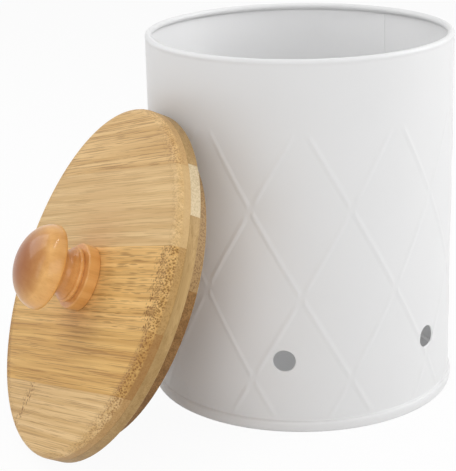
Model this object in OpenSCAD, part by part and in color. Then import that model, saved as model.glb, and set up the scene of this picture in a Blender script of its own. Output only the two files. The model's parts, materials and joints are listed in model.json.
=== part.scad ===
// Vented storage canister of painted sheet steel, with a bamboo lid that leans against it.
// Origin at the centre of the foot, +Z up, directions around the canister counted from -Y towards +X.

/* [Canister] */
// Outer diameter of the wall
can_d = 164; // [150:1:176]
// Height over the rolled rim
can_h = 196; // [180:1:230]
// Thickness of the sheet
sheet_t = 0.6; // [0.5:0.05:0.8]
// Diameter of the rolled rim
curl_d = 3.6; // [3:0.1:4.4]
// How far the rolled rim stands out past the wall
curl_proud = 0.2; // [0.1:0.05:0.4]
// How far round the rim is rolled, from the wall over the top
curl_sweep = 250; // [220:5:265]
// Width of the lapped side seam
seam_w = 6; // [4:0.5:9]
// Thickness that the lap adds inside
seam_t = 0.4; // [0.3:0.05:0.6]
// Direction of the side seam
seam_turn = 145; // [135:1:155]

/* [Base] */
// Height of the folded ring at the foot
ring_h = 6; // [5:0.1:8]
// How far the ring stands out past the wall
ring_proud = 1.6; // [1.5:0.1:2.4]
// Height of the base panel above the foot
panel_rise = 4.5; // [3:0.1:8]
// Gap between the sheets in the fold
fold_gap = 0.1; // [0.05:0.01:0.15]

/* [Vent holes] */
// Number of holes
vent_count = 6; // [3:1:8]
// Diameter of a hole
vent_d = 11.5; // [8:0.5:14]
// Height of the holes above the foot
vent_z = 39.3; // [30:0.1:60]
// Direction of the first hole
vent_turn = -6.4; // [-12:0.1:12]

/* [Lattice] */
// Diamonds around the wall
diamonds = 10; // [8:1:12]
// Height of one row of crossings above the last
row_pitch = 45.5; // [38:0.5:55]
// Height of the lowest crossing
cross_z = 28.3; // [22:0.1:34]
// Height at which the ridges end
lattice_top = 158.5; // [130:0.5:165]
// Width of a ridge
ridge_w = 3.8; // [3:0.1:4.4]
// How far a ridge stands out from the wall
ridge_h = 0.6; // [0.4:0.05:0.9]
// Bare length at a crossing on the ridges that fall to the right
over_gap = 2.6; // [2:0.1:4]
// Bare length at a crossing on the ridges that rise to the right
under_gap = 4.8; // [4.6:0.1:7]

/* [Lid] */
// Diameter of the lid
lid_d = 181; // [170:1:190]
// Thickness of the top ply
face_t = 6.7; // [5:0.1:11]
// Thickness of the middle ply
cross_t = 5.5; // [3:0.1:7]
// Thickness of the lower ply, the plug that drops into the mouth
plug_t = 11; // [6:0.1:13]
// Gap around the plug in the mouth
plug_gap = 0.5; // [0.4:0.1:2]
// Rounding of the top edge
shoulder_r = 4; // [2:0.1:4.8]
// Bevel on the lower edges
ease = 0.6; // [0.3:0.1:1]
// Turn of the grain in the face of the lid, up from level on the right
grain_turn = 18; // [-90:1:90]
// Glue joints of the top ply, from the centre of the lid
glue_lines = [-55, -24, 16.5, 57]; // [-80:0.5:80]

/* [Knob] */
// Diameter of the knob's flange
flange_d = 33.5; // [30:0.5:40]
// Height of the flange with its rounded shoulder
flange_h = 6.5; // [4:0.1:7]
// Rounding of the flange's shoulder
flange_round = 1; // [0.6:0.1:3]
// Diameter over the bead above the flange
bead_d = 28.6; // [26:0.2:31]
// Thickness of the bead
bead_t = 2.6; // [2:0.1:4]
// Height of the groove on each side of the bead
groove_h = 0.7; // [0.5:0.1:1.5]
// Depth of these grooves below the bead
groove_depth = 1.4; // [1:0.1:2]
// Diameter of the neck at its waist
neck_d = 20.5; // [15:0.5:23]
// Height of the head's rear edge above the lid
head_z = 20.5; // [18.5:0.1:26]
// Diameter of the head
head_d = 43.5; // [36:0.5:48]
// Height of the dome above the head's widest line
dome_h = 15; // [10:0.5:20]
// Rise of the head's underside from the neck to its edge
head_rise = 1; // [0.5:0.1:2]

/* [Screw] */
// Diameter of the screw's shank
screw_d = 4; // [3:0.1:5]
// Diameter of the screw's head
screw_head_d = 8; // [7:0.1:9.5]
// Length of the screw
screw_l = 35; // [31:0.5:40]
// Depth of the screw's head below the plug's face
screw_sink = 1; // [0.5:0.1:2]
// Gap around the shank in the plies
bore_gap = 0.25; // [0.1:0.05:0.5]
// Gap around the shank in the knob
pilot_gap = 0.05; // [0.02:0.01:0.1]
// Depth left in the knob past the screw's tip
pilot_end = 1; // [0.5:0.1:3]

/* [Lid at rest] */
// Lean of the lid back from upright
lid_lean = 25.4; // [20:0.1:35]
// Direction that the lid faces
lid_turn = -64.3; // [-75:0.1:-50]
// Direction in which the lid stands from the canister
lid_stand = -50.5; // [-65:0.1:-45]
// Gap between the leaning lid and the crowns of the wall's ridges
lean_gap = 0.1; // [0.05:0.05:0.3]

/* [Hidden] */
$fn = 96;

coat = [0.93, 0.93, 0.93];
bamboo = [0.84, 0.66, 0.42];
bamboo_pale = [0.86, 0.73, 0.5];
lacquer = [0.78, 0.47, 0.22];
steel = [0.7, 0.7, 0.72];

wall_r = can_d / 2;
bore_r = wall_r - sheet_t;
curl_r = curl_d / 2;
curl_at = [wall_r + curl_proud - curl_r, can_h - curl_r];
mouth_r = curl_at[0] - curl_r;

// The fold, from the inside out: panel wall, end of the canister wall, its hook, skirt
pan_r = bore_r - fold_gap;
chuck_r = pan_r - sheet_t;
ring_r = wall_r + ring_proud;
skirt_r = ring_r - sheet_t;
hook_r = skirt_r - fold_gap;
hook_z = sheet_t + fold_gap;
hook_top = ring_h - 2 * sheet_t - fold_gap;
fold_r = (ring_r - chuck_r) * 0.4;

half_cell = 180 / diamonds;
cell_arc = wall_r * half_cell * PI / 180;
ridge_slope = atan2(row_pitch, cell_arc);
ridge_len = norm([cell_arc, row_pitch]);
// A slanted line on the wall bends like a circle of this radius
ridge_bend = wall_r / pow(cos(ridge_slope), 2);
crown_r = (pow(ridge_w / 2, 2) + pow(ridge_h, 2)) / (2 * ridge_h);
ridge_root = sheet_t / 2;
lattice_foot = ring_h + fold_gap + ridge_h;
top_band = ceil((lattice_top - cross_z) / row_pitch) - 1;

// How far a cut runs past what it cuts
past = 1;

lid_r = lid_d / 2;
plug_r = mouth_r - plug_gap;
lid_top = cross_t + face_t;
screw_r = screw_d / 2;
screw_head_r = screw_head_d / 2;
screw_z = -plug_t + screw_sink;
sink_h = screw_head_r - screw_r;
head_r = head_d / 2;

// Edges of the lid that can touch the floor or the wall, as radius and height
lid_edges = [[lid_r, ease], [lid_r - ease, 0], [plug_r, ease - plug_t], [plug_r - ease, -plug_t]];
stand_z = max([for (e = lid_edges) e[0] * cos(lid_lean) - e[1] * sin(lid_lean)]);
stand_out = lean_from(wall_r, wall_r + lid_d, 30);

// Least distance from the canister's axis to the lid, with the lid's centre this far out
function lid_reach(out) = min([for (e = lid_edges) for (t = [0:1:180])
  norm(out * [sin(lid_stand), -cos(lid_stand)]
    + e[1] * cos(lid_lean) * [sin(lid_turn), -cos(lid_turn)]
    + e[0] * cos(t) * [cos(lid_turn), sin(lid_turn)]
    + e[0] * sin(t) * sin(lid_lean) * [-sin(lid_turn), cos(lid_turn)])]);

// Halves the interval until the lid just clears the ridges
function lean_from(near, far, steps) = steps == 0 ? far : let(mid = (near + far) / 2)
  lid_reach(mid) > wall_r + ridge_h + lean_gap ? lean_from(near, mid, steps - 1) : lean_from(mid, far, steps - 1);

function arc(centre, r, from, to, n = 8) =
  [for (i = [0:n]) centre + r * [cos(from + (to - from) * i / n), sin(from + (to - from) * i / n)]];

function cross_height(row) = cross_z + row * row_pitch;

module around(turn) {
  rotate([0, 0, turn - 90]) children();
}

module at_rest() {
  translate([stand_out * sin(lid_stand), -stand_out * cos(lid_stand), stand_z])
    rotate([90 - lid_lean, 0, lid_turn])
      children();
}

// Section of the wall: hook in the fold, straight tube, rim rolled inwards
module wall_section() {
  outer_start = -acos((wall_r - curl_at[0]) / curl_r);
  inner_start = -acos((bore_r - curl_at[0]) / (curl_r - sheet_t));
  polygon(concat(
    [[bore_r, hook_z], [hook_r, hook_z], [hook_r, hook_top], [hook_r - sheet_t, hook_top],
      [hook_r - sheet_t, hook_z + sheet_t], [wall_r, hook_z + sheet_t]],
    arc(curl_at, curl_r, outer_start, curl_sweep, 16),
    arc(curl_at, curl_r - sheet_t, curl_sweep, inner_start, 16)));
}

// One ridge, a bent bar with a rounded crown, between two places on its line
module ridge(from, to) {
  per_mm = 180 / PI / ridge_bend;
  translate([-ridge_bend, 0, 0]) rotate([90, 0, 0]) rotate([0, 0, from * per_mm])
    rotate_extrude(angle = (to - from) * per_mm, $fn = 720)
      intersection() {
        translate([ridge_bend + ridge_h - crown_r, 0]) circle(r = crown_r, $fn = 32);
        translate([ridge_bend - ridge_root, -ridge_w]) square([ridge_root + 2 * ridge_h, 2 * ridge_w]);
      }
}

module lattice() {
  for (row = [-1:top_band]) for (hand = [-1, 1]) {
    gap = hand < 0 ? over_gap : under_gap;
    low = max(gap, (lattice_foot - cross_height(row)) / sin(ridge_slope));
    high = max(gap, (cross_height(row + 1) - lattice_top) / sin(ridge_slope));
    for (i = [0:diamonds - 1])
      around((2 * i + hand / 2 + (row % 2 == 0 ? 1 : 0)) * half_cell)
        translate([wall_r, 0, cross_height(row) + row_pitch / 2])
          rotate([-hand * (90 - ridge_slope), 0, 0])
            ridge(low - ridge_len / 2, ridge_len / 2 - high);
  }
}

module canister_wall() {
  color(coat)
  difference() {
    union() {
      rotate_extrude() wall_section();
      lattice();
      around(seam_turn) translate([bore_r - seam_t, -seam_w / 2, panel_rise + 2 * sheet_t])
        cube([seam_t + sheet_t / 2, seam_w, can_h - curl_d - panel_rise - 3 * sheet_t]);
    }
    for (i = [0:vent_count - 1])
      around(vent_turn + i * 360 / vent_count) translate([wall_r / 2, 0, vent_z])
        rotate([0, 90, 0]) cylinder(d = vent_d, h = wall_r);
  }
}

// Pressed base: raised panel, wall of the panel, foot, skirt and the lip that closes the fold
module base_pan() {
  lip_z = ring_h - sheet_t;
  color(coat)
  rotate_extrude() {
    polygon(concat(
      [[0, panel_rise], [chuck_r - sheet_t, panel_rise], [chuck_r, panel_rise - sheet_t]],
      arc([chuck_r + sheet_t, sheet_t], sheet_t, 180, 270, 4),
      arc([ring_r - fold_r, fold_r], fold_r, 270, 360, 5),
      arc([ring_r - fold_r, ring_h - fold_r], fold_r, 0, 90, 5),
      [[wall_r + fold_gap, ring_h], [wall_r + fold_gap, lip_z]],
      arc([ring_r - fold_r, ring_h - fold_r], fold_r - sheet_t, 90, 0, 5),
      [[skirt_r, sheet_t], [pan_r, sheet_t], [pan_r, panel_rise - sheet_t / 2]],
      arc([pan_r - 2 * sheet_t, panel_rise - sheet_t], 2 * sheet_t, 0, 90, 5),
      [[0, panel_rise + sheet_t]]));
  }
}

module disc_section() {
  polygon(concat([[0, cross_t], [lid_r, cross_t]],
    arc([lid_r - shoulder_r, lid_top - shoulder_r], shoulder_r, 0, 90, 8),
    [[0, lid_top]]));
}

// A strip of the top ply, between two of its glue joints
module face_strip(n) {
  lines = concat([-lid_r], glue_lines, [lid_r]);
  color(bamboo)
  at_rest()
    difference() {
      intersection() {
        rotate_extrude() disc_section();
        rotate([0, 0, grain_turn]) translate([-lid_r, lines[n - 1], cross_t - past])
          cube([lid_d, lines[n] - lines[n - 1], face_t + 2 * past]);
      }
      if (lines[n - 1] < 0 && lines[n] > 0)
        cylinder(r = screw_r + bore_gap, h = lid_top + past);
    }
}

module cross_ply() {
  color(bamboo_pale)
  at_rest()
    rotate_extrude()
      polygon([[screw_r + bore_gap, 0], [lid_r - ease, 0], [lid_r, ease], [lid_r, cross_t],
        [screw_r + bore_gap, cross_t]]);
}

module plug_ply() {
  bore = screw_r + bore_gap;
  sink = screw_head_r + bore_gap;
  color(bamboo)
  at_rest()
    rotate_extrude()
      polygon([[bore, 0], [bore, screw_z + sink_h], [sink, screw_z], [sink, -plug_t],
        [plug_r - ease, -plug_t], [plug_r, ease - plug_t], [plug_r, 0]]);
}

// Turned knob: flange, bead between two grooves, waisted neck, flattened ball
module knob() {
  flange_r = flange_d / 2;
  bead_r = bead_d / 2;
  bead_round = bead_t / 2;
  bead_z = flange_h + groove_h + bead_round;
  groove_r = bead_r - groove_depth;
  neck_foot = bead_z + bead_round + groove_h;
  neck_round = (head_z - head_rise - neck_foot) / 2;
  edge_z = head_z + head_rise;
  pilot_r = screw_r + pilot_gap;
  pilot_h = screw_z + screw_l - lid_top + pilot_end;
  dome_steps = 16;
  color(lacquer)
  at_rest() translate([0, 0, lid_top])
    rotate_extrude()
      polygon(concat(
        [[0, pilot_h], [pilot_r, pilot_h], [pilot_r, 0], [flange_r - ease, 0], [flange_r, ease]],
        arc([flange_r - flange_round, flange_h - flange_round], flange_round, 0, 80, 6),
        [[groove_r, flange_h + groove_h / 2]],
        arc([bead_r - bead_round, bead_z], bead_round, -70, 70, 8),
        [[groove_r, bead_z + bead_round + groove_h / 2]],
        arc([neck_d / 2 + neck_round, neck_foot + neck_round], neck_round, 235, 128, 10),
        [[head_r - 3 * head_rise, head_z - head_rise], [head_r - head_rise / 2, head_z]],
        [for (i = [0:dome_steps]) [head_r * cos(i * 90 / dome_steps),
          edge_z + dome_h * sin(i * 90 / dome_steps)]]));
}

module knob_screw() {
  tip_l = screw_d * 0.75;
  tip_r = screw_d * 0.1;
  slot_w = screw_d * 0.25;
  head_edge = 0.2;
  color(steel)
  at_rest() translate([0, 0, screw_z])
    difference() {
      rotate_extrude()
        polygon([[0, 0], [screw_head_r - head_edge, 0], [screw_head_r, head_edge], [screw_r, sink_h],
          [screw_r, screw_l - tip_l], [tip_r, screw_l], [0, screw_l]]);
      for (turn = [0, 90])
        rotate([0, 0, turn]) translate([-screw_r, -slot_w / 2, -past])
          cube([screw_d, slot_w, past + sink_h / 2]);
    }
}

canister_wall();
base_pan();
face_strip(1);  // face_strip_1
face_strip(2);  // face_strip_2
face_strip(3);  // face_strip_3
face_strip(4);  // face_strip_4
face_strip(5);  // face_strip_5
cross_ply();
plug_ply();
knob();
knob_screw();
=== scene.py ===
import json
import math

import bpy
from mathutils import Matrix, Vector


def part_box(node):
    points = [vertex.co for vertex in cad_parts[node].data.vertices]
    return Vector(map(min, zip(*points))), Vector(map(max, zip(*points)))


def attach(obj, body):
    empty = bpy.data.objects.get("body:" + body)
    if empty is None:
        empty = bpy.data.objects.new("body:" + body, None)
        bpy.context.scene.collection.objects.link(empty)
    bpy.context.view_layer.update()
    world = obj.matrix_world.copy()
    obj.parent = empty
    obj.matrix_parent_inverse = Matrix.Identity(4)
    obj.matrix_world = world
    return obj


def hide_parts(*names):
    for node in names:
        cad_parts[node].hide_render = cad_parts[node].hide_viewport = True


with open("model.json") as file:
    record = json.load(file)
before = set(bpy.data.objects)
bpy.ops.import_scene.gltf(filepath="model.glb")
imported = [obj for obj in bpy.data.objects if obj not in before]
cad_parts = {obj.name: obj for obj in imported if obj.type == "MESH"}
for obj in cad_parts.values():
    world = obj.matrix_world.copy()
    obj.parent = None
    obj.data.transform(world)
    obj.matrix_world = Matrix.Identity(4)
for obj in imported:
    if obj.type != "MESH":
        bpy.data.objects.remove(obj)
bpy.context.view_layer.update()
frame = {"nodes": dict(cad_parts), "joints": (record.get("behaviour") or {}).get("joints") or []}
mm = 0.001
touch = 0.01 * mm  # places closer than this are one
cutSlack = 0.001 * mm  # Blender's own 0.1 mm leaves teeth
print("frame loaded")


# Picking, shaping and finishing, used by every piece

def deselect():
    if bpy.context.mode != "OBJECT":
        bpy.ops.object.mode_set(mode="OBJECT")
    bpy.ops.object.select_all(action="DESELECT")


def choose(*pieces):
    deselect()
    for piece in pieces:
        piece.select_set(True)
    bpy.context.view_layer.objects.active = pieces[0]


def selectVertices(piece, isWanted):  # in edit mode, by place
    bpy.ops.object.mode_set(mode="OBJECT")
    for vertex in piece.data.vertices:
        vertex.select = isWanted(vertex.co)
    for edge in piece.data.edges:
        edge.select = all(piece.data.vertices[v].select for v in edge.vertices)
    for face in piece.data.polygons:
        face.select = all(piece.data.vertices[v].select for v in face.vertices)
    bpy.ops.object.mode_set(mode="EDIT")


def cutAcross(place, normal, **sides):  # in edit mode, all of the mesh
    bpy.ops.mesh.select_all(action="SELECT")
    bpy.ops.mesh.bisect(plane_co=place, plane_no=normal, threshold=cutSlack, **sides)


def arcPoints(centre, radius, start, end, steps):  # angles in degrees
    points = []
    for step in range(steps + 1):
        angle = math.radians(start + (end - start) * step / steps)
        points.append((centre[0] + radius * math.cos(angle), centre[1] + radius * math.sin(angle)))
    return points


def turnOutline(name, outline, sides):  # outline in mm, as distance from the axis and height
    deselect()
    bpy.ops.mesh.primitive_plane_add(size=mm)
    piece = bpy.context.object
    piece.name = name
    bpy.ops.object.mode_set(mode="EDIT")
    bpy.ops.mesh.merge(type="CENTER")
    bpy.ops.transform.translate(value=(outline[0][0] * mm, 0, outline[0][1] * mm))
    for here, there in zip(outline, outline[1:]):
        step = ((there[0] - here[0]) * mm, 0, (there[1] - here[1]) * mm)
        bpy.ops.mesh.extrude_region_move(TRANSFORM_OT_translate={"value": step})
    bpy.ops.mesh.select_all(action="SELECT")
    bpy.ops.mesh.spin(steps=sides, angle=math.tau, center=(0, 0, 0), axis=(0, 0, 1))
    bpy.ops.mesh.select_all(action="SELECT")
    bpy.ops.mesh.remove_doubles(threshold=touch)
    bpy.ops.mesh.normals_make_consistent(inside=False)
    bpy.ops.object.mode_set(mode="OBJECT")
    return piece


def copyPiece(piece, name):
    copy = piece.copy()
    copy.data = piece.data.copy()
    copy.name = name
    bpy.context.scene.collection.objects.link(copy)
    return copy


def applyModifier(piece, kind, **settings):
    choose(piece)
    modifier = piece.modifiers.new(kind.title(), kind)
    for setting, value in settings.items():
        setattr(modifier, setting, value)
    bpy.ops.object.modifier_apply(modifier=modifier.name)


def bevelEdges(piece, width, segments=2, angle=50):
    applyModifier(piece, "BEVEL", width=width * mm, segments=segments, limit_method="ANGLE",
                  angle_limit=math.radians(angle), use_clamp_overlap=True)


def placePiece(piece, place):
    choose(piece)
    piece.matrix_world = place
    bpy.ops.object.transform_apply(location=True, rotation=True, scale=True)


def finishPiece(piece, material, body, node=None, smoothAngle=35):
    choose(piece)
    bpy.ops.object.shade_smooth_by_angle(angle=math.radians(smoothAngle))
    piece.data.materials.clear()
    piece.data.materials.append(material)
    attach(piece, body)
    if node:
        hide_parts(node)


# Materials are node trees on object coordinates

def colour(red, green, blue):  # a paint colour, 0 to 255, as Blender's linear values
    def linear(value):
        value /= 255
        return value / 12.92 if value <= 0.04045 else ((value + 0.055) / 1.055) ** 2.4
    return (linear(red), linear(green), linear(blue), 1)


def newMaterial(name):
    material = bpy.data.materials.new(name)
    material.use_nodes = True
    tree = material.node_tree
    tree.nodes.clear()
    output = tree.nodes.new("ShaderNodeOutputMaterial")
    shader = tree.nodes.new("ShaderNodeBsdfPrincipled")
    tree.links.new(shader.outputs[0], output.inputs[0])
    return material, tree, shader


def addNode(tree, kind, sockets, **options):
    node = tree.nodes.new("ShaderNode" + kind)
    for option, value in options.items():
        setattr(node, option, value)
    for socket, value in sockets.items():
        if isinstance(value, bpy.types.NodeSocket):
            tree.links.new(value, node.inputs[socket])
        else:
            node.inputs[socket].default_value = value
    return node


def addMath(tree, operation, *values):
    return addNode(tree, "Math", dict(enumerate(values)), operation=operation).outputs[0]


def addRange(tree, value, fromLow, fromHigh, toLow, toHigh):
    return addNode(tree, "MapRange", {"Value": value, "From Min": fromLow, "From Max": fromHigh,
                                      "To Min": toLow, "To Max": toHigh}).outputs[0]


def mixColours(tree, factor, first, second):
    return addNode(tree, "Mix", {0: factor, 6: first, 7: second}, data_type="RGBA").outputs[2]


def addBump(tree, shader, height, depth, strength):
    bump = addNode(tree, "Bump", {"Height": height, "Distance": depth * mm, "Strength": strength})
    tree.links.new(bump.outputs[0], shader.inputs["Normal"])


coatLook = {
    "colour": (0.80, 0.80, 0.802, 1), "shade": (0.785, 0.785, 0.787, 1), "roughness": (0.40, 0.50),
    "peelSize": 1.1, "peelDepth": 0.02, "peelStrength": 0.35, "cloudSize": 30, "cloudLimits": (0.3, 0.7),
    # the inside tone is painted light, a lighter tone on the can's inner wall below its top; the darker grey
    # tone is painted shade on the pan inside
    "inside": (0.9, 0.9, 0.902, 1), "insideReach": 81.7, "darkerGrey": (0.62, 0.62, 0.622, 1), "paintedShadeReach": 78,
    "insideTop": 191, "reachBlend": 0.15, "topBlend": 1,
}


# the inner tone is painted: painted light on the wall's inside, painted shade on the pan's upper side
def coatMaterial(name, inner, innerReach):  # another tone within a reach of the axis
    material, tree, shader = newMaterial(name)
    place = addNode(tree, "TexCoord", {}).outputs["Object"]
    peel = addNode(tree, "TexNoise", {"Vector": place, "Scale": 1 / (coatLook["peelSize"] * mm), "Detail": 2})
    cloudScale = 1 / (coatLook["cloudSize"] * mm)
    cloud = addNode(tree, "TexNoise", {"Vector": place, "Scale": cloudScale, "Detail": 3})
    tone = mixColours(tree, cloud.outputs[0], coatLook["colour"], coatLook["shade"])
    level = addNode(tree, "VectorMath", {0: place, 1: (1, 1, 0)}, operation="MULTIPLY").outputs[0]
    reach = addNode(tree, "VectorMath", {0: level}, operation="LENGTH").outputs["Value"]
    outer = innerReach + coatLook["reachBlend"]
    within = addRange(tree, reach, innerReach * mm, outer * mm, 1, 0)
    top = coatLook["insideTop"]
    height = addNode(tree, "SeparateXYZ", {0: place}).outputs["Z"]
    below = addRange(tree, height, top * mm, (top + coatLook["topBlend"]) * mm, 1, 0)
    tone = mixColours(tree, addMath(tree, "MULTIPLY", within, below), tone, inner)
    tree.links.new(tone, shader.inputs["Base Color"])
    roughness = addRange(tree, cloud.outputs[0], *coatLook["cloudLimits"], *coatLook["roughness"])
    tree.links.new(roughness, shader.inputs["Roughness"])
    addBump(tree, shader, peel.outputs[0], coatLook["peelDepth"], coatLook["peelStrength"])
    return material


print("helpers ready")


# Camera and light

cameraSet = {"place": (0, -0.7891, 0.3433), "down": 17.29, "side": -1.91, "tilt": -1.07,
             "lens": 114.48, "sensor": 36, "shift": (-0.0531, -0.0637), "nearest": 0.02}


def addCamera():
    down, side, tilt = (math.radians(cameraSet[turn]) for turn in ("down", "side", "tilt"))
    ahead = Vector((math.sin(side) * math.cos(down), math.cos(side) * math.cos(down), -math.sin(down)))
    level = Vector((math.cos(side), -math.sin(side), 0))
    above = level.cross(ahead)
    right = math.cos(tilt) * level + math.sin(tilt) * above
    up = right.cross(ahead)
    camera = bpy.data.objects.new("camera", bpy.data.cameras.new("camera"))
    camera.data.lens = cameraSet["lens"]
    camera.data.sensor_width = cameraSet["sensor"]
    camera.data.shift_x, camera.data.shift_y = cameraSet["shift"]
    camera.data.clip_start = cameraSet["nearest"]
    turned = Matrix((right, up, -ahead)).transposed().to_4x4()
    camera.matrix_world = Matrix.Translation(cameraSet["place"]) @ turned
    bpy.context.scene.collection.objects.link(camera)
    bpy.context.scene.camera = camera


def addLamp(name, place, aim, size, power):
    lamp = bpy.data.objects.new(name, bpy.data.lights.new(name, "AREA"))
    lamp.data.shape = "RECTANGLE"
    lamp.data.size, lamp.data.size_y = size
    lamp.data.energy = power
    lamp.location = place
    lamp.rotation_euler = (Vector(aim) - Vector(place)).to_track_quat("-Z", "Y").to_euler()
    bpy.context.scene.collection.objects.link(lamp)


lampSet = {
    "windowRight": {"place": (0.96, 0.17, 0.709), "aim": (0, 0, 0.1), "size": (0.8, 0.7), "power": 7.2},
    "windowLeft": {"place": (-0.851, 0.228, 0.839), "aim": (0, 0, 0.1), "size": (0.7, 0.8), "power": 4.6},
    "windowFront": {"place": (0.19, -1.07, 0.55), "aim": (0, 0, 0.1), "size": (1.2, 0.7), "power": 4.9},
    "panelLeft": {"place": (-0.80, -0.60, 0.50), "aim": (0, 0, 0.1), "size": (0.2, 0.8), "power": 0.8},
    "stripAbove": {"place": (-0.05, -0.1, 1.2), "aim": (0, 0, 0.1), "size": (0.06, 0.7), "power": 1.6},
}
stageSet = {"floorSize": 8, "worldLight": 0.3, "floorWhite": 0.94, "floorColour": (0.85, 0.85, 0.85, 1)}


def seenDirectly(tree):  # 1 for what the camera, a gloss or a clear surface sees
    rays = addNode(tree, "LightPath", {})
    seen = addMath(tree, "ADD", rays.outputs["Is Camera Ray"], rays.outputs["Is Glossy Ray"])
    return addMath(tree, "MINIMUM", addMath(tree, "ADD", seen, rays.outputs["Is Transmission Ray"]), 1.0)


def addStage():
    deselect()
    bpy.ops.mesh.primitive_plane_add(size=stageSet["floorSize"])
    floor = bpy.context.object
    floor.name = "floor"
    material = bpy.data.materials.new("whiteFloor")
    material.use_nodes = True
    tree = material.node_tree
    tree.nodes.clear()
    output = tree.nodes.new("ShaderNodeOutputMaterial")
    matt = addNode(tree, "BsdfDiffuse", {"Color": stageSet["floorColour"]})
    white = addNode(tree, "Emission", {"Color": (1, 1, 1, 1), "Strength": 1})
    share = addMath(tree, "MULTIPLY", seenDirectly(tree), stageSet["floorWhite"])
    mix = addNode(tree, "MixShader", {0: share, 1: matt.outputs[0], 2: white.outputs[0]})
    tree.links.new(mix.outputs[0], output.inputs[0])
    floor.data.materials.append(material)

    world = bpy.data.worlds.new("studio")
    bpy.context.scene.world = world
    world.use_nodes = True
    tree = world.node_tree
    tree.nodes.clear()
    output = tree.nodes.new("ShaderNodeOutputWorld")
    soft = addNode(tree, "Background", {"Color": (1, 1, 1, 1), "Strength": stageSet["worldLight"]})
    white = addNode(tree, "Background", {"Color": (1, 1, 1, 1), "Strength": 1})
    mix = addNode(tree, "MixShader", {0: seenDirectly(tree), 1: soft.outputs[0], 2: white.outputs[0]})
    tree.links.new(mix.outputs[0], output.inputs[0])


addCamera()
addStage()
for lampName, lamp in lampSet.items():
    addLamp(lampName, **lamp)
bpy.context.scene.view_settings.view_transform = "Standard"
print("camera, lamps and floor placed")


# Canister wall: a flat diamond patch with raised ridges, repeated, rolled up, rimmed and pierced

wall = {
    "radius": 82, "sheet": 0.6, "diamonds": 10, "rowPitch": 45.5, "crossingHeight": 28.3,
    "ridgeWidth": 4.6, "ridgeHeight": 0.3,
    "overGap": 0.8, "overTaper": 2.6, "underGap": 2.6, "underTaper": 5.0,
    "latticeTop": 158.5, "topTaper": 2.5, "latticeFoot": 6.2, "footTaper": 3,
    "rows": (-2, 3), "cutTop": 162, "cutFoot": 6.6,
    "rimRadius": 1.8, "rimProud": 0.2, "rimSweep": 250, "rimSides": 180, "rimSteps": 26, "rimBridge": 1,
    "hookOut": 0.3, "hookFoot": 1.3, "hookTop": 4.7,
    # distances from a ridge to the mesh lines beside it, close together where the ridge bends
    "meshLines": (0, 0.35, 0.75, 1.15, 1.55, 1.95, 2.4, 3.0, 3.8, 4.8, 6.4, 8.6, 11.4, 14.6, 18.4),
}
vent = {"count": 6, "diameter": 11.5, "height": 39.3, "turn": -6.4, "lip": 0.8, "lipSink": 0.82,
        "lipStart": 110, "lipSteps": 6, "punch": 6, "sides": 64}
lap = {"turn": 145, "width": 6, "thickness": 0.4, "foot": 5.8, "top": 191.5, "edge": 0.12,
       "cuts": (-0.3, -0.1, 0.1, 0.3)}
# the wall's inside and the seam lap get a lighter tone, as painted light
coat = coatMaterial("satinWhiteCoat", coatLook["inside"], coatLook["insideReach"])
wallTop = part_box("canister_wall")[1].z / mm
cellArc = math.pi * wall["radius"] / wall["diamonds"]
ridgeLength = math.hypot(cellArc, wall["rowPitch"])
ridgeSpacing = 2 * cellArc * wall["rowPitch"] / ridgeLength


def easeIn(value):
    value = min(max(value, 0), 1)
    return value * value * (3 - 2 * value)


def ridgeRise(along, across, gap, taper):  # both counted in cells from a crossing
    side = abs(across - round(across)) * ridgeSpacing
    if side >= wall["ridgeWidth"] / 2:
        return 0
    crossing = abs(along - round(along)) * ridgeLength
    bell = 0.5 + 0.5 * math.cos(math.tau * side / wall["ridgeWidth"])
    return bell * easeIn((crossing - gap) / taper)


def rollUp(point):  # a place on the flat sheet, in mm, to its place on the wall
    cellsAcross = (point.x - cellArc) / cellArc
    cellsUp = (point.y - wall["crossingHeight"]) / wall["rowPitch"]
    rising = (cellsUp + cellsAcross) / 2
    falling = (cellsUp - cellsAcross) / 2
    rise = max(ridgeRise(rising, falling, wall["underGap"], wall["underTaper"]),
               ridgeRise(falling, rising, wall["overGap"], wall["overTaper"]))
    rise *= easeIn((wall["latticeTop"] - point.y) / wall["topTaper"])
    rise *= easeIn((point.y - wall["latticeFoot"]) / wall["footTaper"])
    reach = wall["radius"] + wall["ridgeHeight"] * rise
    turn = point.x / wall["radius"]
    return Vector((reach * math.sin(turn), -reach * math.cos(turn), point.y)) * mm


def addWallSheet():
    halfLines = [line / ridgeSpacing for line in wall["meshLines"]]
    stations = halfLines + [0.5] + [1 - line for line in reversed(halfLines)]
    cells = len(stations) - 1
    deselect()
    bpy.ops.mesh.primitive_grid_add(x_subdivisions=cells, y_subdivisions=cells, size=1)
    patch = bpy.context.object
    for vertex in patch.data.vertices:
        rising = stations[round((vertex.co.x + 0.5) * cells)]
        falling = stations[round((vertex.co.y + 0.5) * cells)]
        height = wall["crossingHeight"] + wall["rowPitch"] * (rising + falling)
        vertex.co = (cellArc * (1 + rising - falling), height, 0)
    patches = [patch]
    for row in range(*wall["rows"]):
        for column in range(wall["diamonds"]):
            shift = Vector(((2 * column + row % 2) * cellArc, row * wall["rowPitch"], 0))
            patches.append(copyPiece(patch, "patch"))
            patches[-1].data.transform(Matrix.Translation(shift))
    bpy.data.objects.remove(patches.pop(0))
    choose(*patches)
    bpy.ops.object.join()
    sheet = bpy.context.object
    sheet.name = "canister_wall_sheet"
    for vertex in sheet.data.vertices:
        vertex.co = rollUp(vertex.co)
    bpy.ops.object.mode_set(mode="EDIT")
    bpy.ops.mesh.select_all(action="SELECT")
    bpy.ops.mesh.remove_doubles(threshold=touch)
    for height, cut in ((wall["cutTop"], "clear_outer"), (wall["cutFoot"], "clear_inner")):
        cutAcross((0, 0, height * mm), (0, 0, 1), **{cut: True})
    bpy.ops.object.mode_set(mode="OBJECT")
    return sheet


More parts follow.
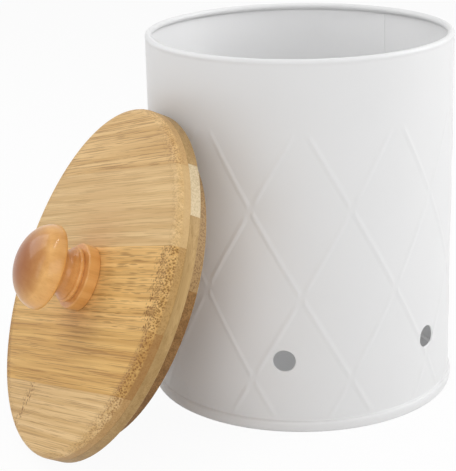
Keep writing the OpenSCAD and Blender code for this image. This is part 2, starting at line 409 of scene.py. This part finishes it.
def pressTrue(sheet, height):  # a cut edge back onto the true circle
    for vertex in sheet.data.vertices:
        if abs(vertex.co.z - height * mm) < touch:
            reach = math.hypot(vertex.co.x, vertex.co.y)
            vertex.co.x *= wall["radius"] * mm / reach
            vertex.co.y *= wall["radius"] * mm / reach


def drawEdge(path):  # extrudes the selected loop through places given as radius and height, in mm
    for here, there in zip(path, path[1:]):
        bpy.ops.mesh.extrude_region_move(TRANSFORM_OT_translate={"value": (0, 0, (there[1] - here[1]) * mm)})
        if there[0] != here[0]:
            scale = there[0] / here[0]
            bpy.ops.transform.resize(value=(scale, scale, 1), center_override=(0, 0, there[1] * mm))


def addRimAndHook(sheet):
    radius = wall["radius"]
    pressTrue(sheet, wall["cutTop"])
    pressTrue(sheet, wall["cutFoot"])
    centre = (radius + wall["rimProud"] - wall["rimRadius"], wallTop - wall["rimRadius"])
    start = -math.degrees(math.acos((radius - centre[0]) / wall["rimRadius"]))
    rim = arcPoints(centre, wall["rimRadius"], start, wall["rimSweep"], wall["rimSteps"])
    rimFoot, bridge = rim[0][1], wall["rimBridge"]
    choose(sheet)
    selectVertices(sheet, lambda co: abs(co.z - wall["cutTop"] * mm) < touch)
    drawEdge([(radius, wall["cutTop"]), (radius, rimFoot - bridge)])
    bpy.ops.mesh.primitive_circle_add(vertices=wall["rimSides"], radius=radius * mm,
                                      location=(0, 0, rimFoot * mm))
    drawEdge([(radius, rimFoot)] + rim[1:])
    selectVertices(sheet, lambda co: abs(co.z - (rimFoot - bridge / 2) * mm) < 0.6 * bridge * mm
                   and abs(math.hypot(co.x, co.y) - radius * mm) < touch)
    bpy.ops.mesh.bridge_edge_loops()
    selectVertices(sheet, lambda co: abs(co.z - wall["cutFoot"] * mm) < touch)
    hook = radius + wall["hookOut"]
    drawEdge([(radius, wall["cutFoot"]), (radius, wall["hookFoot"]), (hook, wall["hookFoot"]),
              (hook, wall["hookTop"])])
    bpy.ops.mesh.select_all(action="SELECT")
    bpy.ops.mesh.normals_make_consistent(inside=False)
    bpy.ops.object.mode_set(mode="OBJECT")
    applyModifier(sheet, "SOLIDIFY", thickness=wall["sheet"] * mm, offset=-1, use_even_offset=True)


def addVentCutter():  # a punch whose shoulder rounds the edge of the hole, bent to the wall
    radius, lip, reach = vent["diameter"] / 2, vent["lip"], vent["punch"]
    shoulder = arcPoints((radius + lip, -vent["lipSink"] * lip), lip, vent["lipStart"], 180, vent["lipSteps"])
    outline = [(0, reach), (shoulder[0][0], reach)] + shoulder + [(radius, -reach), (0, -reach)]
    punch = turnOutline("punch", outline, vent["sides"])
    for vertex in punch.data.vertices:  # its axis becomes the wall's radius
        across, up, depth = vertex.co
        bend = math.sqrt((wall["radius"] * mm) ** 2 - across ** 2)
        vertex.co = (across, -(bend + depth), up + vent["height"] * mm)
    punches = [punch]
    for index in range(vent["count"]):
        punches.append(copyPiece(punch, "punch"))
        turn = math.radians(vent["turn"] + index * 360 / vent["count"])
        punches[-1].data.transform(Matrix.Rotation(turn, 4, "Z"))
    bpy.data.objects.remove(punches.pop(0))
    choose(*punches)
    bpy.ops.object.join()
    bpy.ops.object.mode_set(mode="EDIT")
    bpy.ops.mesh.select_all(action="SELECT")
    bpy.ops.mesh.normals_make_consistent(inside=False)
    bpy.ops.object.mode_set(mode="OBJECT")
    return bpy.context.object


def addLap():
    deselect()
    bpy.ops.mesh.primitive_cube_add(size=1)
    strip = bpy.context.object
    strip.name = "canister_seam_lap"
    height = lap["top"] - lap["foot"]
    strip.scale = (lap["width"] * mm, lap["thickness"] * mm, height * mm)
    inner = wall["radius"] - wall["sheet"] - lap["thickness"] / 2
    strip.location = (0, -inner * mm, (lap["foot"] + height / 2) * mm)
    bpy.ops.object.transform_apply(location=True, rotation=True, scale=True)
    bpy.ops.object.mode_set(mode="EDIT")
    for across in lap["cuts"]:
        cutAcross((across * lap["width"] * mm, 0, 0), (1, 0, 0))
    bpy.ops.object.mode_set(mode="OBJECT")
    for vertex in strip.data.vertices:  # bent to the wall
        reach = -vertex.co.y
        turn = vertex.co.x / (inner * mm) + math.radians(lap["turn"])
        vertex.co = (reach * math.sin(turn), -reach * math.cos(turn), vertex.co.z)
    bevelEdges(strip, lap["edge"], 2)
    finishPiece(strip, coat, "canister", None, 20)


def addWall():
    sheet = addWallSheet()
    addRimAndHook(sheet)
    punch = addVentCutter()
    applyModifier(sheet, "BOOLEAN", operation="DIFFERENCE", solver="EXACT", object=punch)
    bpy.data.objects.remove(punch)
    finishPiece(sheet, coat, "canister", "canister_wall", 30)
    print("wall:", len(sheet.data.polygons), "faces")


addWall()
addLap()


# Base: one pressed pan whose edge is folded round the foot of the wall

base = {"sheet": 0.6, "foldGap": 0.1, "panelRise": 4.5, "panelBend": 1.2, "foldSquare": 0.35,
        "paintFillet": 0.7, "sides": 180}


def addBase():
    sheet, gap, rise, bend = base["sheet"], base["foldGap"], base["panelRise"], base["panelBend"] / 2
    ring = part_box("base_pan")[1].x / mm
    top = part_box("base_pan")[1].z / mm
    panRadius = wall["radius"] - wall["sheet"] - gap
    chuck = panRadius - sheet
    half, inset = top / 2, wall["radius"]

    def foldSide(reach, start, end, steps):  # an upright oval, a little squared
        points = []
        for across, up in arcPoints((0, 0), 1, start, end, steps):
            square = 1 + base["foldSquare"] * (across * up) ** 2
            points.append((inset + (ring - inset - reach) * across * square,
                           half + (half - reach) * up * square))
        return points

    outline = [(0, rise), (chuck - 2 * bend, rise)]
    outline += arcPoints((chuck - bend, rise - bend), bend, 90, 0, 5)
    outline += arcPoints((chuck + sheet, sheet), sheet, 180, 270, 6)
    outline += foldSide(0, -90, 90, 24)
    fillet = base["paintFillet"]  # the coat bridges the fold's lip and the wall
    outline += arcPoints((wall["radius"] + fillet, top + fillet), fillet, 270, 182, 6)
    outline += [(wall["radius"] + gap, top - sheet)]
    outline += foldSide(sheet, 80, -80, 16)
    outline += [(panRadius, sheet), (panRadius, rise - sheet)]
    outline += arcPoints((panRadius - 2 * sheet, rise - sheet), 2 * sheet, 0, 90, 6)
    outline += [(0, rise + sheet)]
    pan = turnOutline("canister_base_pan", outline, base["sides"])
    # its upper side, seen through the vent holes, is painted darker than the wall, as painted shade
    finishPiece(pan, coatMaterial("satinPanCoat", coatLook["darkerGrey"], coatLook["paintedShadeReach"]),
                "canister", "base_pan", 40)


addBase()
print("canister built")


# Lid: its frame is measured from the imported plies, with height along the joint's axis

lidAxis = Vector(frame["joints"][0]["axis"]).normalized()
levelAxis = Vector((0, 0, 1)).cross(lidAxis).normalized()
upAxis = lidAxis.cross(levelAxis)


def measure(node, axis):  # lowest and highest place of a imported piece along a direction, in mm
    places = [vertex.co.dot(axis) / mm for vertex in frame["nodes"][node].data.vertices]
    return min(places), max(places)


plyLimits = {axis: measure("cross_ply", direction)
             for axis, direction in (("x", levelAxis), ("y", upAxis), ("z", lidAxis))}
underside = plyLimits["z"][0]
lidCentre = levelAxis * sum(plyLimits["x"]) / 2 + upAxis * sum(plyLimits["y"]) / 2
lidCentre = (lidCentre + lidAxis * underside) * mm
lidPlace = Matrix.Translation(lidCentre) @ Matrix((levelAxis, upAxis, lidAxis)).transposed().to_4x4()
plugLimits = measure("plug_ply", levelAxis)
lid = {
    "radius": (plyLimits["x"][1] - plyLimits["x"][0]) / 2,
    "plyTop": plyLimits["z"][1] - underside,
    "top": measure("face_strip_3", lidAxis)[1] - underside,
    "plugRadius": (plugLimits[1] - plugLimits[0]) / 2,
    "plugFoot": measure("plug_ply", lidAxis)[0] - underside,
    "strips": 5, "grainTurn": 18, "shoulder": 4, "ease": 0.6, "bore": 2.25, "sinkFlare": 2, "screwSink": 1,
    "sides": 200, "hairline": 0.12,
}
acrossGrain = Matrix.Rotation(math.radians(lid["grainTurn"]), 3, "Z") @ Vector((0, 1, 0))
acrossWorld = lidPlace.to_3x3() @ acrossGrain

# one look for each strip of the top ply, from the lowest in the photograph to the top one
# each strip's side colour is the plain turned side, painted darker as painted shade
stripLooks = [
    {"light": colour(237, 202, 146), "dark": colour(214, 175, 115), "dash": colour(150, 106, 58),
     "side": colour(178, 138, 84), "hair": 0.42, "dashes": 0.45, "dashSize": (18, 0.26),
     "endDots": 0.8, "endShade": 0.12, "node": (-31, -57.6, 0.43)},
    {"light": colour(230, 186, 112), "dark": colour(204, 156, 85), "dash": colour(146, 100, 50),
     "side": colour(156, 114, 64), "hair": 0.5, "dashes": 0.3, "dashSize": (40, 0.24),
     "endDots": 0.95, "endShade": 0.3},
    {"light": colour(240, 196, 126), "dark": colour(216, 169, 99), "dash": colour(136, 96, 44),
     "side": colour(172, 136, 83), "hair": 0.42, "dashes": 0.62, "dashSize": (14, 0.62),
     "dashFade": (-20, 40, 0.3), "endDots": 0.85, "endShade": 0.12, "node": (79.5, 0, 0), "isRough": True},
    {"light": colour(229, 195, 140), "dark": colour(211, 173, 117), "dash": colour(164, 124, 72),
     "side": colour(196, 162, 110), "hair": 0.36, "dashes": 0.25, "dashSize": (44, 0.24),
     "endDots": 0.3, "endShade": 0},
    {"light": colour(232, 195, 136), "dark": colour(209, 168, 108), "dash": colour(138, 92, 44),
     "side": colour(192, 154, 100), "hair": 0.5, "dashes": 0.6, "dashSize": (24, 0.28),
     "endDots": 0.5, "endShade": 0.06},
]
crossLook = {
    "light": colour(188, 155, 103), "dark": colour(167, 134, 83), "dash": colour(128, 92, 48),
    "hair": 0.2, "dashes": 0.2, "dashSize": (30, 0.3), "endDots": 0.22, "endShade": 0, "laths": (58, 27),
    "paleLath": {"tone": colour(214, 194, 156), "across": (-84.3, -69), "along": (0, 120)},
}
plugLook = {
    "light": colour(160, 120, 70), "dark": colour(134, 96, 50), "dash": colour(90, 58, 26),
    "hair": 0.3, "dashes": 0.6, "dashSize": (22, 0.3), "endDots": 0.4, "endShade": 0.05, "laths": (900, 31),
    "paleLath": {"tone": colour(176, 143, 96), "across": (0, 90), "along": (-120, 120)},
}
# lengths and widths in mm, along and across the grain
bambooSet = {
    "streak": (160, 3), "streakLimits": (0.36, 0.64), "sway": (0.012, 1.0),
    "fibre": (70, 0.4), "fibreLimits": (0.45, 0.75), "fibreTone": 0.2,
    "hair": (38, 0.46), "hairLimits": (0.55, 0.585),
    "dashPitch": 1.0, "dashFill": 0.08, "dashBlend": 0.5, "dashLeast": 0.5,
    "dotPitch": (1.5, 1.05), "dotFill": (0.56, 0.3),
    "endFacing": (0.2, 0.62), "endSlope": (0.4, 0.8), "edgeZone": (8, 4.2), "roughZone": (2, 0.9),
    "nodeWidth": (0.4, 5), "nodePits": 1.7, "pitFill": (0.3, 0.5), "nodeWander": 2.4, "wanderScale": 0.22,
    # the side tone darkens the turned side of the top ply, as painted shade
    "lathTone": 0.4, "lathStagger": 0.37, "sideTone": 0.78, "sideBlend": (1.6, 0.6), "sideClosed": 0.8,
    "noiseLimits": (0.3, 0.7), "roughness": (0.46, 0.6), "gloss": 0.3,
    "grooveDepth": 0.12, "grooveStrength": 0.3,
}


def ownMillimetres(tree, source, place):  # object coordinates in mm from a place, along its own axes
    return addNode(tree, "Mapping", {"Vector": source.outputs["Object"], "Location": place.to_translation(),
                                     "Rotation": place.to_euler(), "Scale": (mm, mm, mm)},
                   vector_type="TEXTURE").outputs[0]


def drawOut(tree, vector, length, width):
    scale = (1 / length, 1 / width, 1 / width)
    return addNode(tree, "Mapping", {"Vector": vector, "Scale": scale}).outputs[0]


def drawnNoise(tree, vector, size, detail):  # noise drawn out along the grain
    stretched = drawOut(tree, vector, *size)
    return addNode(tree, "TexNoise", {"Vector": stretched, "Scale": 1, "Detail": detail}).outputs[0]


def swayGrain(tree, grain):
    scale, reach = bambooSet["sway"]
    sway = addNode(tree, "TexNoise", {"Vector": grain, "Scale": scale, "Detail": 4})
    bend = addNode(tree, "CombineXYZ", {"Y": addMath(tree, "MULTIPLY", sway.outputs[0], reach)})
    return addNode(tree, "VectorMath", {0: grain, 1: bend.outputs[0]}, operation="ADD").outputs[0]


def findEnds(tree, source, grain, along, alongGrain):  # 1 where the fibres are cut across
    normal = source.outputs["Normal"]
    facing = addNode(tree, "VectorMath", {0: normal, 1: alongGrain}, operation="DOT_PRODUCT").outputs["Value"]
    faces = addRange(tree, addMath(tree, "ABSOLUTE", facing), *bambooSet["endFacing"], 0, 1)
    # the cut ends begin a little inside the shoulder
    level = addNode(tree, "VectorMath", {0: grain, 1: (1, 1, 0)}, operation="MULTIPLY").outputs[0]
    fromCentre = addNode(tree, "VectorMath", {0: level}, operation="LENGTH").outputs["Value"]
    slope = addMath(tree, "DIVIDE", addMath(tree, "ABSOLUTE", along), fromCentre)
    start, end = (lid["radius"] - inset for inset in bambooSet["edgeZone"])
    ends = addMath(tree, "MULTIPLY", addRange(tree, slope, *bambooSet["endSlope"], 0, 1),
                   addRange(tree, fromCentre, start, end, 0, 1))
    return addMath(tree, "MAXIMUM", faces, ends)


def drawBundles(tree, swayed, along, look):  # bundles of fibres, seen as dashes along the grain
    length, fullest = look["dashSize"]
    stretched = drawOut(tree, swayed, length, bambooSet["dashPitch"])
    bundles = addNode(tree, "TexVoronoi", {"Vector": stretched, "Scale": 1})
    kind = addNode(tree, "SeparateColor", {0: bundles.outputs["Color"]})
    reach = addRange(tree, kind.outputs[0], 0, 1, bambooSet["dashFill"], fullest)
    fill = addMath(tree, "SUBTRACT", 1.0, addMath(tree, "DIVIDE", bundles.outputs["Distance"], reach))
    weight = addRange(tree, kind.outputs[1], 0, 1, bambooSet["dashLeast"] * look["dashes"], look["dashes"])
    dash = addMath(tree, "MULTIPLY", addRange(tree, fill, 0, bambooSet["dashBlend"], 0, 1), weight)
    if "dashFade" in look:  # fewer towards one end of the strip
        start, end, low = look["dashFade"]
        dash = addMath(tree, "MULTIPLY", dash, addRange(tree, along, start, end, low, 1))
    return dash


def drawNode(tree, grain, along, across, look):  # a joint of the culm: how far beyond it, and its row of pits
    nodeAlong, nodeAcross, slant = look["node"]
    reach = bambooSet["nodeWander"]
    wander = addNode(tree, "TexNoise", {"Vector": grain, "Scale": bambooSet["wanderScale"], "Detail": 2})
    wander = addRange(tree, wander.outputs[0], *bambooSet["noiseLimits"],
                      nodeAlong - reach, nodeAlong + reach)
    middle = addMath(tree, "MULTIPLY", addMath(tree, "SUBTRACT", across, nodeAcross), slant)
    beyond = addMath(tree, "SUBTRACT", along, addMath(tree, "ADD", middle, wander))
    near = addRange(tree, addMath(tree, "ABSOLUTE", beyond), *bambooSet["nodeWidth"], 1, 0)
    pits = addNode(tree, "TexVoronoi", {"Vector": grain, "Scale": 1 / bambooSet["nodePits"]})
    pit = addRange(tree, pits.outputs["Distance"], *bambooSet["pitFill"], 1, 0)
    return beyond, addMath(tree, "MULTIPLY", near, pit)


def toneLaths(tree, tone, along, across, look):  # each lath of a lower ply has its own tone
    length, width = look["laths"]
    row = addMath(tree, "FLOOR", addMath(tree, "DIVIDE", across, width))
    offset = addMath(tree, "ADD", addMath(tree, "DIVIDE", along, length),
                     addMath(tree, "MULTIPLY", row, bambooSet["lathStagger"]))
    lath = addNode(tree, "CombineXYZ", {"X": row, "Y": addMath(tree, "FLOOR", offset)})
    own = addNode(tree, "TexWhiteNoise", {"Vector": lath.outputs[0]}, noise_dimensions="3D").outputs[0]
    tone = mixColours(tree, addMath(tree, "MULTIPLY", own, bambooSet["lathTone"]), tone, look["dark"])
    pale, isPale = look["paleLath"], 1.0
    for value, (low, high) in ((across, pale["across"]), (along, pale["along"])):
        isPale = addMath(tree, "MULTIPLY", isPale, addMath(tree, "GREATER_THAN", value, low))
        isPale = addMath(tree, "MULTIPLY", isPale, addMath(tree, "LESS_THAN", value, high))
    return mixColours(tree, isPale, tone, pale["tone"])


def bambooMaterial(name, look, turn):
    material, tree, shader = newMaterial(name)
    source = addNode(tree, "TexCoord", {})
    grainPlace = lidPlace @ Matrix.Rotation(math.radians(turn), 4, "Z")
    grain = ownMillimetres(tree, source, grainPlace)
    along, across, height = addNode(tree, "SeparateXYZ", {0: grain}).outputs
    swayed = swayGrain(tree, grain)
    endZone = findEnds(tree, source, grain, along, grainPlace.to_3x3() @ Vector((1, 0, 0)))
    streak = drawnNoise(tree, swayed, bambooSet["streak"], 4)
    fibre = drawnNoise(tree, swayed, bambooSet["fibre"], 2)
    hair = drawnNoise(tree, swayed, bambooSet["hair"], 2)
    hair = addRange(tree, hair, *bambooSet["hairLimits"], 0, look["hair"])
    dash = drawBundles(tree, swayed, along, look)
    if "node" in look:
        beyond, pit = drawNode(tree, grain, along, across, look)
    if "isRough" in look:  # cut across its fibres from the node to the edge
        reach, share = bambooSet["roughZone"]
        endZone = addMath(tree, "MAXIMUM", endZone, addRange(tree, beyond, 0, reach, 0, share))
    dots = addNode(tree, "TexVoronoi", {"Vector": drawOut(tree, swayed, *bambooSet["dotPitch"]), "Scale": 1})
    dot = addRange(tree, dots.outputs["Distance"], *bambooSet["dotFill"], 0, 1)
    dot = addMath(tree, "MULTIPLY", dot, endZone)

    streak = addRange(tree, streak, *bambooSet["streakLimits"], 0, 1)
    tone = mixColours(tree, streak, look["light"], look["dark"])
    if "laths" in look:
        tone = toneLaths(tree, tone, along, across, look)
    fibreShare = addRange(tree, fibre, *bambooSet["fibreLimits"], 0, bambooSet["fibreTone"])
    endShare = addMath(tree, "MULTIPLY", endZone, look["endShade"])
    for share in (fibreShare, hair, dash, endShare):
        tone = mixColours(tree, share, tone, look["dash"])
    if "side" in look:  # the turned side below the shoulder is closed and plain
        # the side is painted darker, as painted shade; its dots are closed over
        start, end = (lid["top"] - lid["shoulder"] + above for above in bambooSet["sideBlend"])
        side = addRange(tree, height, start, end, 0, bambooSet["sideTone"])
        tone = mixColours(tree, side, tone, look["side"])
        closed = addMath(tree, "MULTIPLY", side, bambooSet["sideClosed"])
        dot = addMath(tree, "MULTIPLY", dot, addMath(tree, "SUBTRACT", 1.0, closed))
    dot = addMath(tree, "MULTIPLY", dot, look["endDots"])
    tone = mixColours(tree, dot, tone, look["dash"])
    if "node" in look:
        tone = mixColours(tree, pit, tone, look["dash"])
    tree.links.new(tone, shader.inputs["Base Color"])
    roughness = addRange(tree, fibre, *bambooSet["noiseLimits"], *bambooSet["roughness"])
    tree.links.new(roughness, shader.inputs["Roughness"])
    shader.inputs["Specular IOR Level"].default_value = bambooSet["gloss"]
    lines = addMath(tree, "ADD", addMath(tree, "MAXIMUM", dash, dot), hair)
    addBump(tree, shader, addMath(tree, "SUBTRACT", 1.0, lines), bambooSet["grooveDepth"],
            bambooSet["grooveStrength"])
    return material


def addTopPly():
    top, low, radius, shoulder = lid["top"], lid["plyTop"], lid["radius"], lid["shoulder"]
    outline = [(lid["bore"], low), (radius, low)]
    outline += arcPoints((radius - shoulder, top - shoulder), shoulder, 0, 90, 12)
    outline += [(lid["bore"], top), (lid["bore"], low)]
    disc = turnOutline("disc", outline, lid["sides"])
    centre = lidCentre.dot(acrossWorld) / mm
    numbers = range(1, lid["strips"] + 1)
    limits = [measure(f"face_strip_{number}", acrossWorld) for number in numbers]
    joints = [(below[1] + above[0]) / 2 - centre for below, above in zip(limits, limits[1:])]
    for number in numbers:
        strip = copyPiece(disc, f"lid_face_strip_{number}")
        choose(strip)
        bpy.ops.object.mode_set(mode="EDIT")
        cuts = []
        if number > 1:
            cuts.append((joints[number - 2], "clear_inner"))
        if number < lid["strips"]:
            cuts.append((joints[number - 1], "clear_outer"))
        for place, side in cuts:
            cutAcross(acrossGrain * place * mm, acrossGrain, use_fill=True, **{side: True})
        bpy.ops.object.mode_set(mode="OBJECT")
        bevelEdges(strip, lid["hairline"], 1, 60)
        placePiece(strip, lidPlace)
        material = bambooMaterial(f"bambooStrip{number}", stripLooks[number - 1], lid["grainTurn"])
        finishPiece(strip, material, "lid", f"face_strip_{number}")
    bpy.data.objects.remove(disc)


def addLowerPlies():
    radius, ease, bore, top = lid["radius"], lid["ease"], lid["bore"], lid["plyTop"]
    outline = [(bore, 0)] + arcPoints((radius - ease, ease), ease, 270, 360, 4)
    outline += [(radius, top), (bore, top), (bore, 0)]
    ply = turnOutline("lid_cross_ply", outline, lid["sides"])
    bevelEdges(ply, lid["hairline"], 1, 60)
    placePiece(ply, lidPlace)
    material = bambooMaterial("bambooCrossPly", crossLook, lid["grainTurn"] + 90)
    finishPiece(ply, material, "lid", "cross_ply")

    radius, foot = lid["plugRadius"], lid["plugFoot"]
    sink, sinkFoot = bore + lid["sinkFlare"], foot + lid["screwSink"]
    outline = [(bore, 0), (bore, sinkFoot + sink - bore), (sink, sinkFoot), (sink, foot)]
    outline += arcPoints((radius - ease, foot + ease), ease, 270, 360, 4) + [(radius, 0), (bore, 0)]
    ply = turnOutline("lid_plug_ply", outline, lid["sides"])
    bevelEdges(ply, lid["hairline"], 1, 60)
    placePiece(ply, lidPlace)
    material = bambooMaterial("bambooPlugPly", plugLook, lid["grainTurn"])
    finishPiece(ply, material, "lid", "plug_ply")


addTopPly()
addLowerPlies()
print("plies built")


# Knob: turned and lacquered, with a bead between two grooves under the head

knob = {
    "flangeRadius": 16.75, "flangeHeight": 6.5, "flangeRound": 1, "beadRadius": 14.3, "beadHeight": 2.6,
    "grooveHeight": 0.7, "grooveDepth": 1.4, "grooveEase": (0.4, 0.15), "neckRadius": 10.25,
    "headHeight": 20.5, "headRadius": 21.75, "headRise": 1, "domeHeight": 15, "domeSteps": 32, "ease": 0.5,
    "sides": 128,
}
lacquerLook = {
    "light": colour(238, 184, 114), "dark": colour(222, 163, 93), "line": colour(160, 96, 50),
    "streak": (90, 7), "streakLimits": (0.35, 0.65), "fibre": (30, 0.7), "fibreLimits": (0.5, 0.8),
    "fibreTone": 0.18, "fibreDepth": 0.03, "fibreStrength": 0.2,
    "end": colour(148, 78, 38), "endTone": 0.85, "endFacing": (0.62, 0.98), "headBlend": 2,
    # the groove colour is painted shade on the neck and grooves under the head
    "groove": colour(160, 90, 46), "neckShadeTone": 0.3, "neckShadeReach": (14, 10.5),
    "roughness": 0.35, "gloss": 0.1, "coat": 0.42, "coatRoughness": 0.13,
}


def lacquerMaterial():
    material, tree, shader = newMaterial("lacqueredKnobWood")
    source = addNode(tree, "TexCoord", {})
    grain = ownMillimetres(tree, source, lidPlace @ Matrix.Rotation(math.radians(90), 4, "Y"))
    streak = drawnNoise(tree, grain, lacquerLook["streak"], 2)
    fibre = drawnNoise(tree, grain, lacquerLook["fibre"], 3)
    streak = addRange(tree, streak, *lacquerLook["streakLimits"], 0, 1)
    tone = mixColours(tree, streak, lacquerLook["light"], lacquerLook["dark"])
    line = addRange(tree, fibre, *lacquerLook["fibreLimits"], 0, lacquerLook["fibreTone"])
    tone = mixColours(tree, line, tone, lacquerLook["line"])
    # the end grain at the crown takes more stain; the neck and grooves under the head are painted darker, as
    # painted shade
    facing = addNode(tree, "VectorMath", {0: source.outputs["Normal"], 1: lidAxis}, operation="DOT_PRODUCT")
    height = addMath(tree, "MULTIPLY", addNode(tree, "SeparateXYZ", {0: grain}).outputs["X"], -1.0)
    headFoot = lid["top"] + knob["headHeight"]
    isHead = addRange(tree, height, headFoot, headFoot + lacquerLook["headBlend"], 0, 1)
    crown = addRange(tree, facing.outputs["Value"], *lacquerLook["endFacing"], 0, lacquerLook["endTone"])
    tone = mixColours(tree, addMath(tree, "MULTIPLY", crown, isHead), tone, lacquerLook["end"])
    level = addNode(tree, "VectorMath", {0: grain, 1: (0, 1, 1)}, operation="MULTIPLY").outputs[0]
    reach = addNode(tree, "VectorMath", {0: level}, operation="LENGTH").outputs["Value"]
    groove = addRange(tree, reach, *lacquerLook["neckShadeReach"], 0, lacquerLook["neckShadeTone"])
    groove = addMath(tree, "MULTIPLY", groove, addMath(tree, "SUBTRACT", 1.0, isHead))
    tone = mixColours(tree, groove, tone, lacquerLook["groove"])
    tree.links.new(tone, shader.inputs["Base Color"])
    shader.inputs["Roughness"].default_value = lacquerLook["roughness"]
    shader.inputs["Specular IOR Level"].default_value = lacquerLook["gloss"]
    shader.inputs["Coat Weight"].default_value = lacquerLook["coat"]
    shader.inputs["Coat Roughness"].default_value = lacquerLook["coatRoughness"]
    addBump(tree, shader, fibre, lacquerLook["fibreDepth"], lacquerLook["fibreStrength"])
    return material


def addKnob():
    flange, flangeTop, flangeRound = knob["flangeRadius"], knob["flangeHeight"], knob["flangeRound"]
    beadRound, groove = knob["beadHeight"] / 2, knob["grooveHeight"]
    beadMiddle = flangeTop + groove + beadRound
    grooveRadius = knob["beadRadius"] - knob["grooveDepth"]
    neckFoot = beadMiddle + beadRound + groove
    headRise, headRadius = knob["headRise"], knob["headRadius"]
    neckRound = (knob["headHeight"] - headRise - neckFoot) / 2
    edge = knob["headHeight"] + headRise
    outline = [(0, 0)] + arcPoints((flange - knob["ease"], knob["ease"]), knob["ease"], 270, 360, 3)
    outline += arcPoints((flange - flangeRound, flangeTop - flangeRound), flangeRound, 0, 85, 8)
    mouth, lift = knob["grooveEase"]
    outline += [(grooveRadius + mouth, flangeTop + lift), (grooveRadius, flangeTop + groove / 2),
                (grooveRadius + mouth, flangeTop + groove - lift)]
    outline += arcPoints((knob["beadRadius"] - beadRound, beadMiddle), beadRound, -80, 80, 12)
    outline += [(grooveRadius + mouth, neckFoot - groove + lift), (grooveRadius, neckFoot - groove / 2)]
    outline += arcPoints((knob["neckRadius"] + neckRound, neckFoot + neckRound), neckRound, 235, 128, 18)
    outline += [(headRadius - 3 * headRise, knob["headHeight"] - headRise)]
    outline += arcPoints((headRadius - headRise, edge), headRise, 300, 360, 4)[:-1]
    for across, up in arcPoints((0, 0), 1, 0, 90, knob["domeSteps"]):
        outline.append((headRadius * across, edge + knob["domeHeight"] * up))
    piece = turnOutline("lid_knob", outline, knob["sides"])
    placePiece(piece, lidPlace @ Matrix.Translation((0, 0, lid["top"] * mm)))
    finishPiece(piece, lacquerMaterial(), "lid", "knob", 50)


screw = {
    "radius": 2, "headRadius": 4, "headEdge": (0.3, 0.25), "length": 35, "pitch": 1.6, "threadDepth": 0.45,
    "threadEnds": (6, 4), "tip": (0.8, 3), "point": 0.2, "crossLength": 4.4, "crossWidth": 1.0,
    "crossDepth": 1.2, "sides": 32,
}
steelLook = {"bright": (0.62, 0.62, 0.65, 1), "darkerGrey": (0.5, 0.5, 0.52, 1), "wearSize": 1.5, "wearDepth": 0.02,
             "wearStrength": 0.2, "wearLimits": (0.3, 0.7), "roughness": (0.25, 0.4)}


def steelMaterial():
    material, tree, shader = newMaterial("platedSteel")
    place = addNode(tree, "TexCoord", {}).outputs["Object"]
    wearScale = 1 / (steelLook["wearSize"] * mm)
    wear = addNode(tree, "TexNoise", {"Vector": place, "Scale": wearScale, "Detail": 3})
    tone = mixColours(tree, wear.outputs[0], steelLook["bright"], steelLook["darkerGrey"])
    tree.links.new(tone, shader.inputs["Base Color"])
    roughness = addRange(tree, wear.outputs[0], *steelLook["wearLimits"], *steelLook["roughness"])
    tree.links.new(roughness, shader.inputs["Roughness"])
    shader.inputs["Metallic"].default_value = 1
    addBump(tree, shader, wear.outputs[0], steelLook["wearDepth"], steelLook["wearStrength"])
    return material


def addScrew():
    radius, head, length = screw["radius"], screw["headRadius"], screw["length"]
    foot = lid["plugFoot"] + lid["screwSink"]
    inset, edge = screw["headEdge"]
    outline = [(0, foot), (head - inset, foot), (head, foot + edge), (radius, foot + edge + head - radius)]
    threadStart, threadEnd = screw["threadEnds"]
    height = foot + threadStart
    while height < foot + length - threadEnd:  # rolled thread
        outline += [(radius, height), (radius - screw["threadDepth"], height + screw["pitch"] / 2)]
        height += screw["pitch"]
    share, tipLength = screw["tip"]
    end = foot + length
    outline += [(radius * share, end - tipLength), (screw["point"], end), (0, end)]
    piece = turnOutline("lid_knob_screw", outline, screw["sides"])
    deselect()
    bpy.ops.mesh.primitive_cube_add(size=1, location=(0, 0, foot * mm))
    cross = bpy.context.object
    cross.scale = (screw["crossLength"] * mm, screw["crossWidth"] * mm, 2 * screw["crossDepth"] * mm)
    bpy.ops.object.transform_apply(location=True, rotation=True, scale=True)
    second = copyPiece(cross, "second")
    second.data.transform(Matrix.Rotation(math.radians(90), 4, "Z"))
    for cutter in (cross, second):
        applyModifier(piece, "BOOLEAN", operation="DIFFERENCE", solver="EXACT", object=cutter)
        bpy.data.objects.remove(cutter)
    placePiece(piece, lidPlace)
    finishPiece(piece, steelMaterial(), "lid", "knob_screw", 30)


addKnob()
addScrew()
print("knob and screw built")
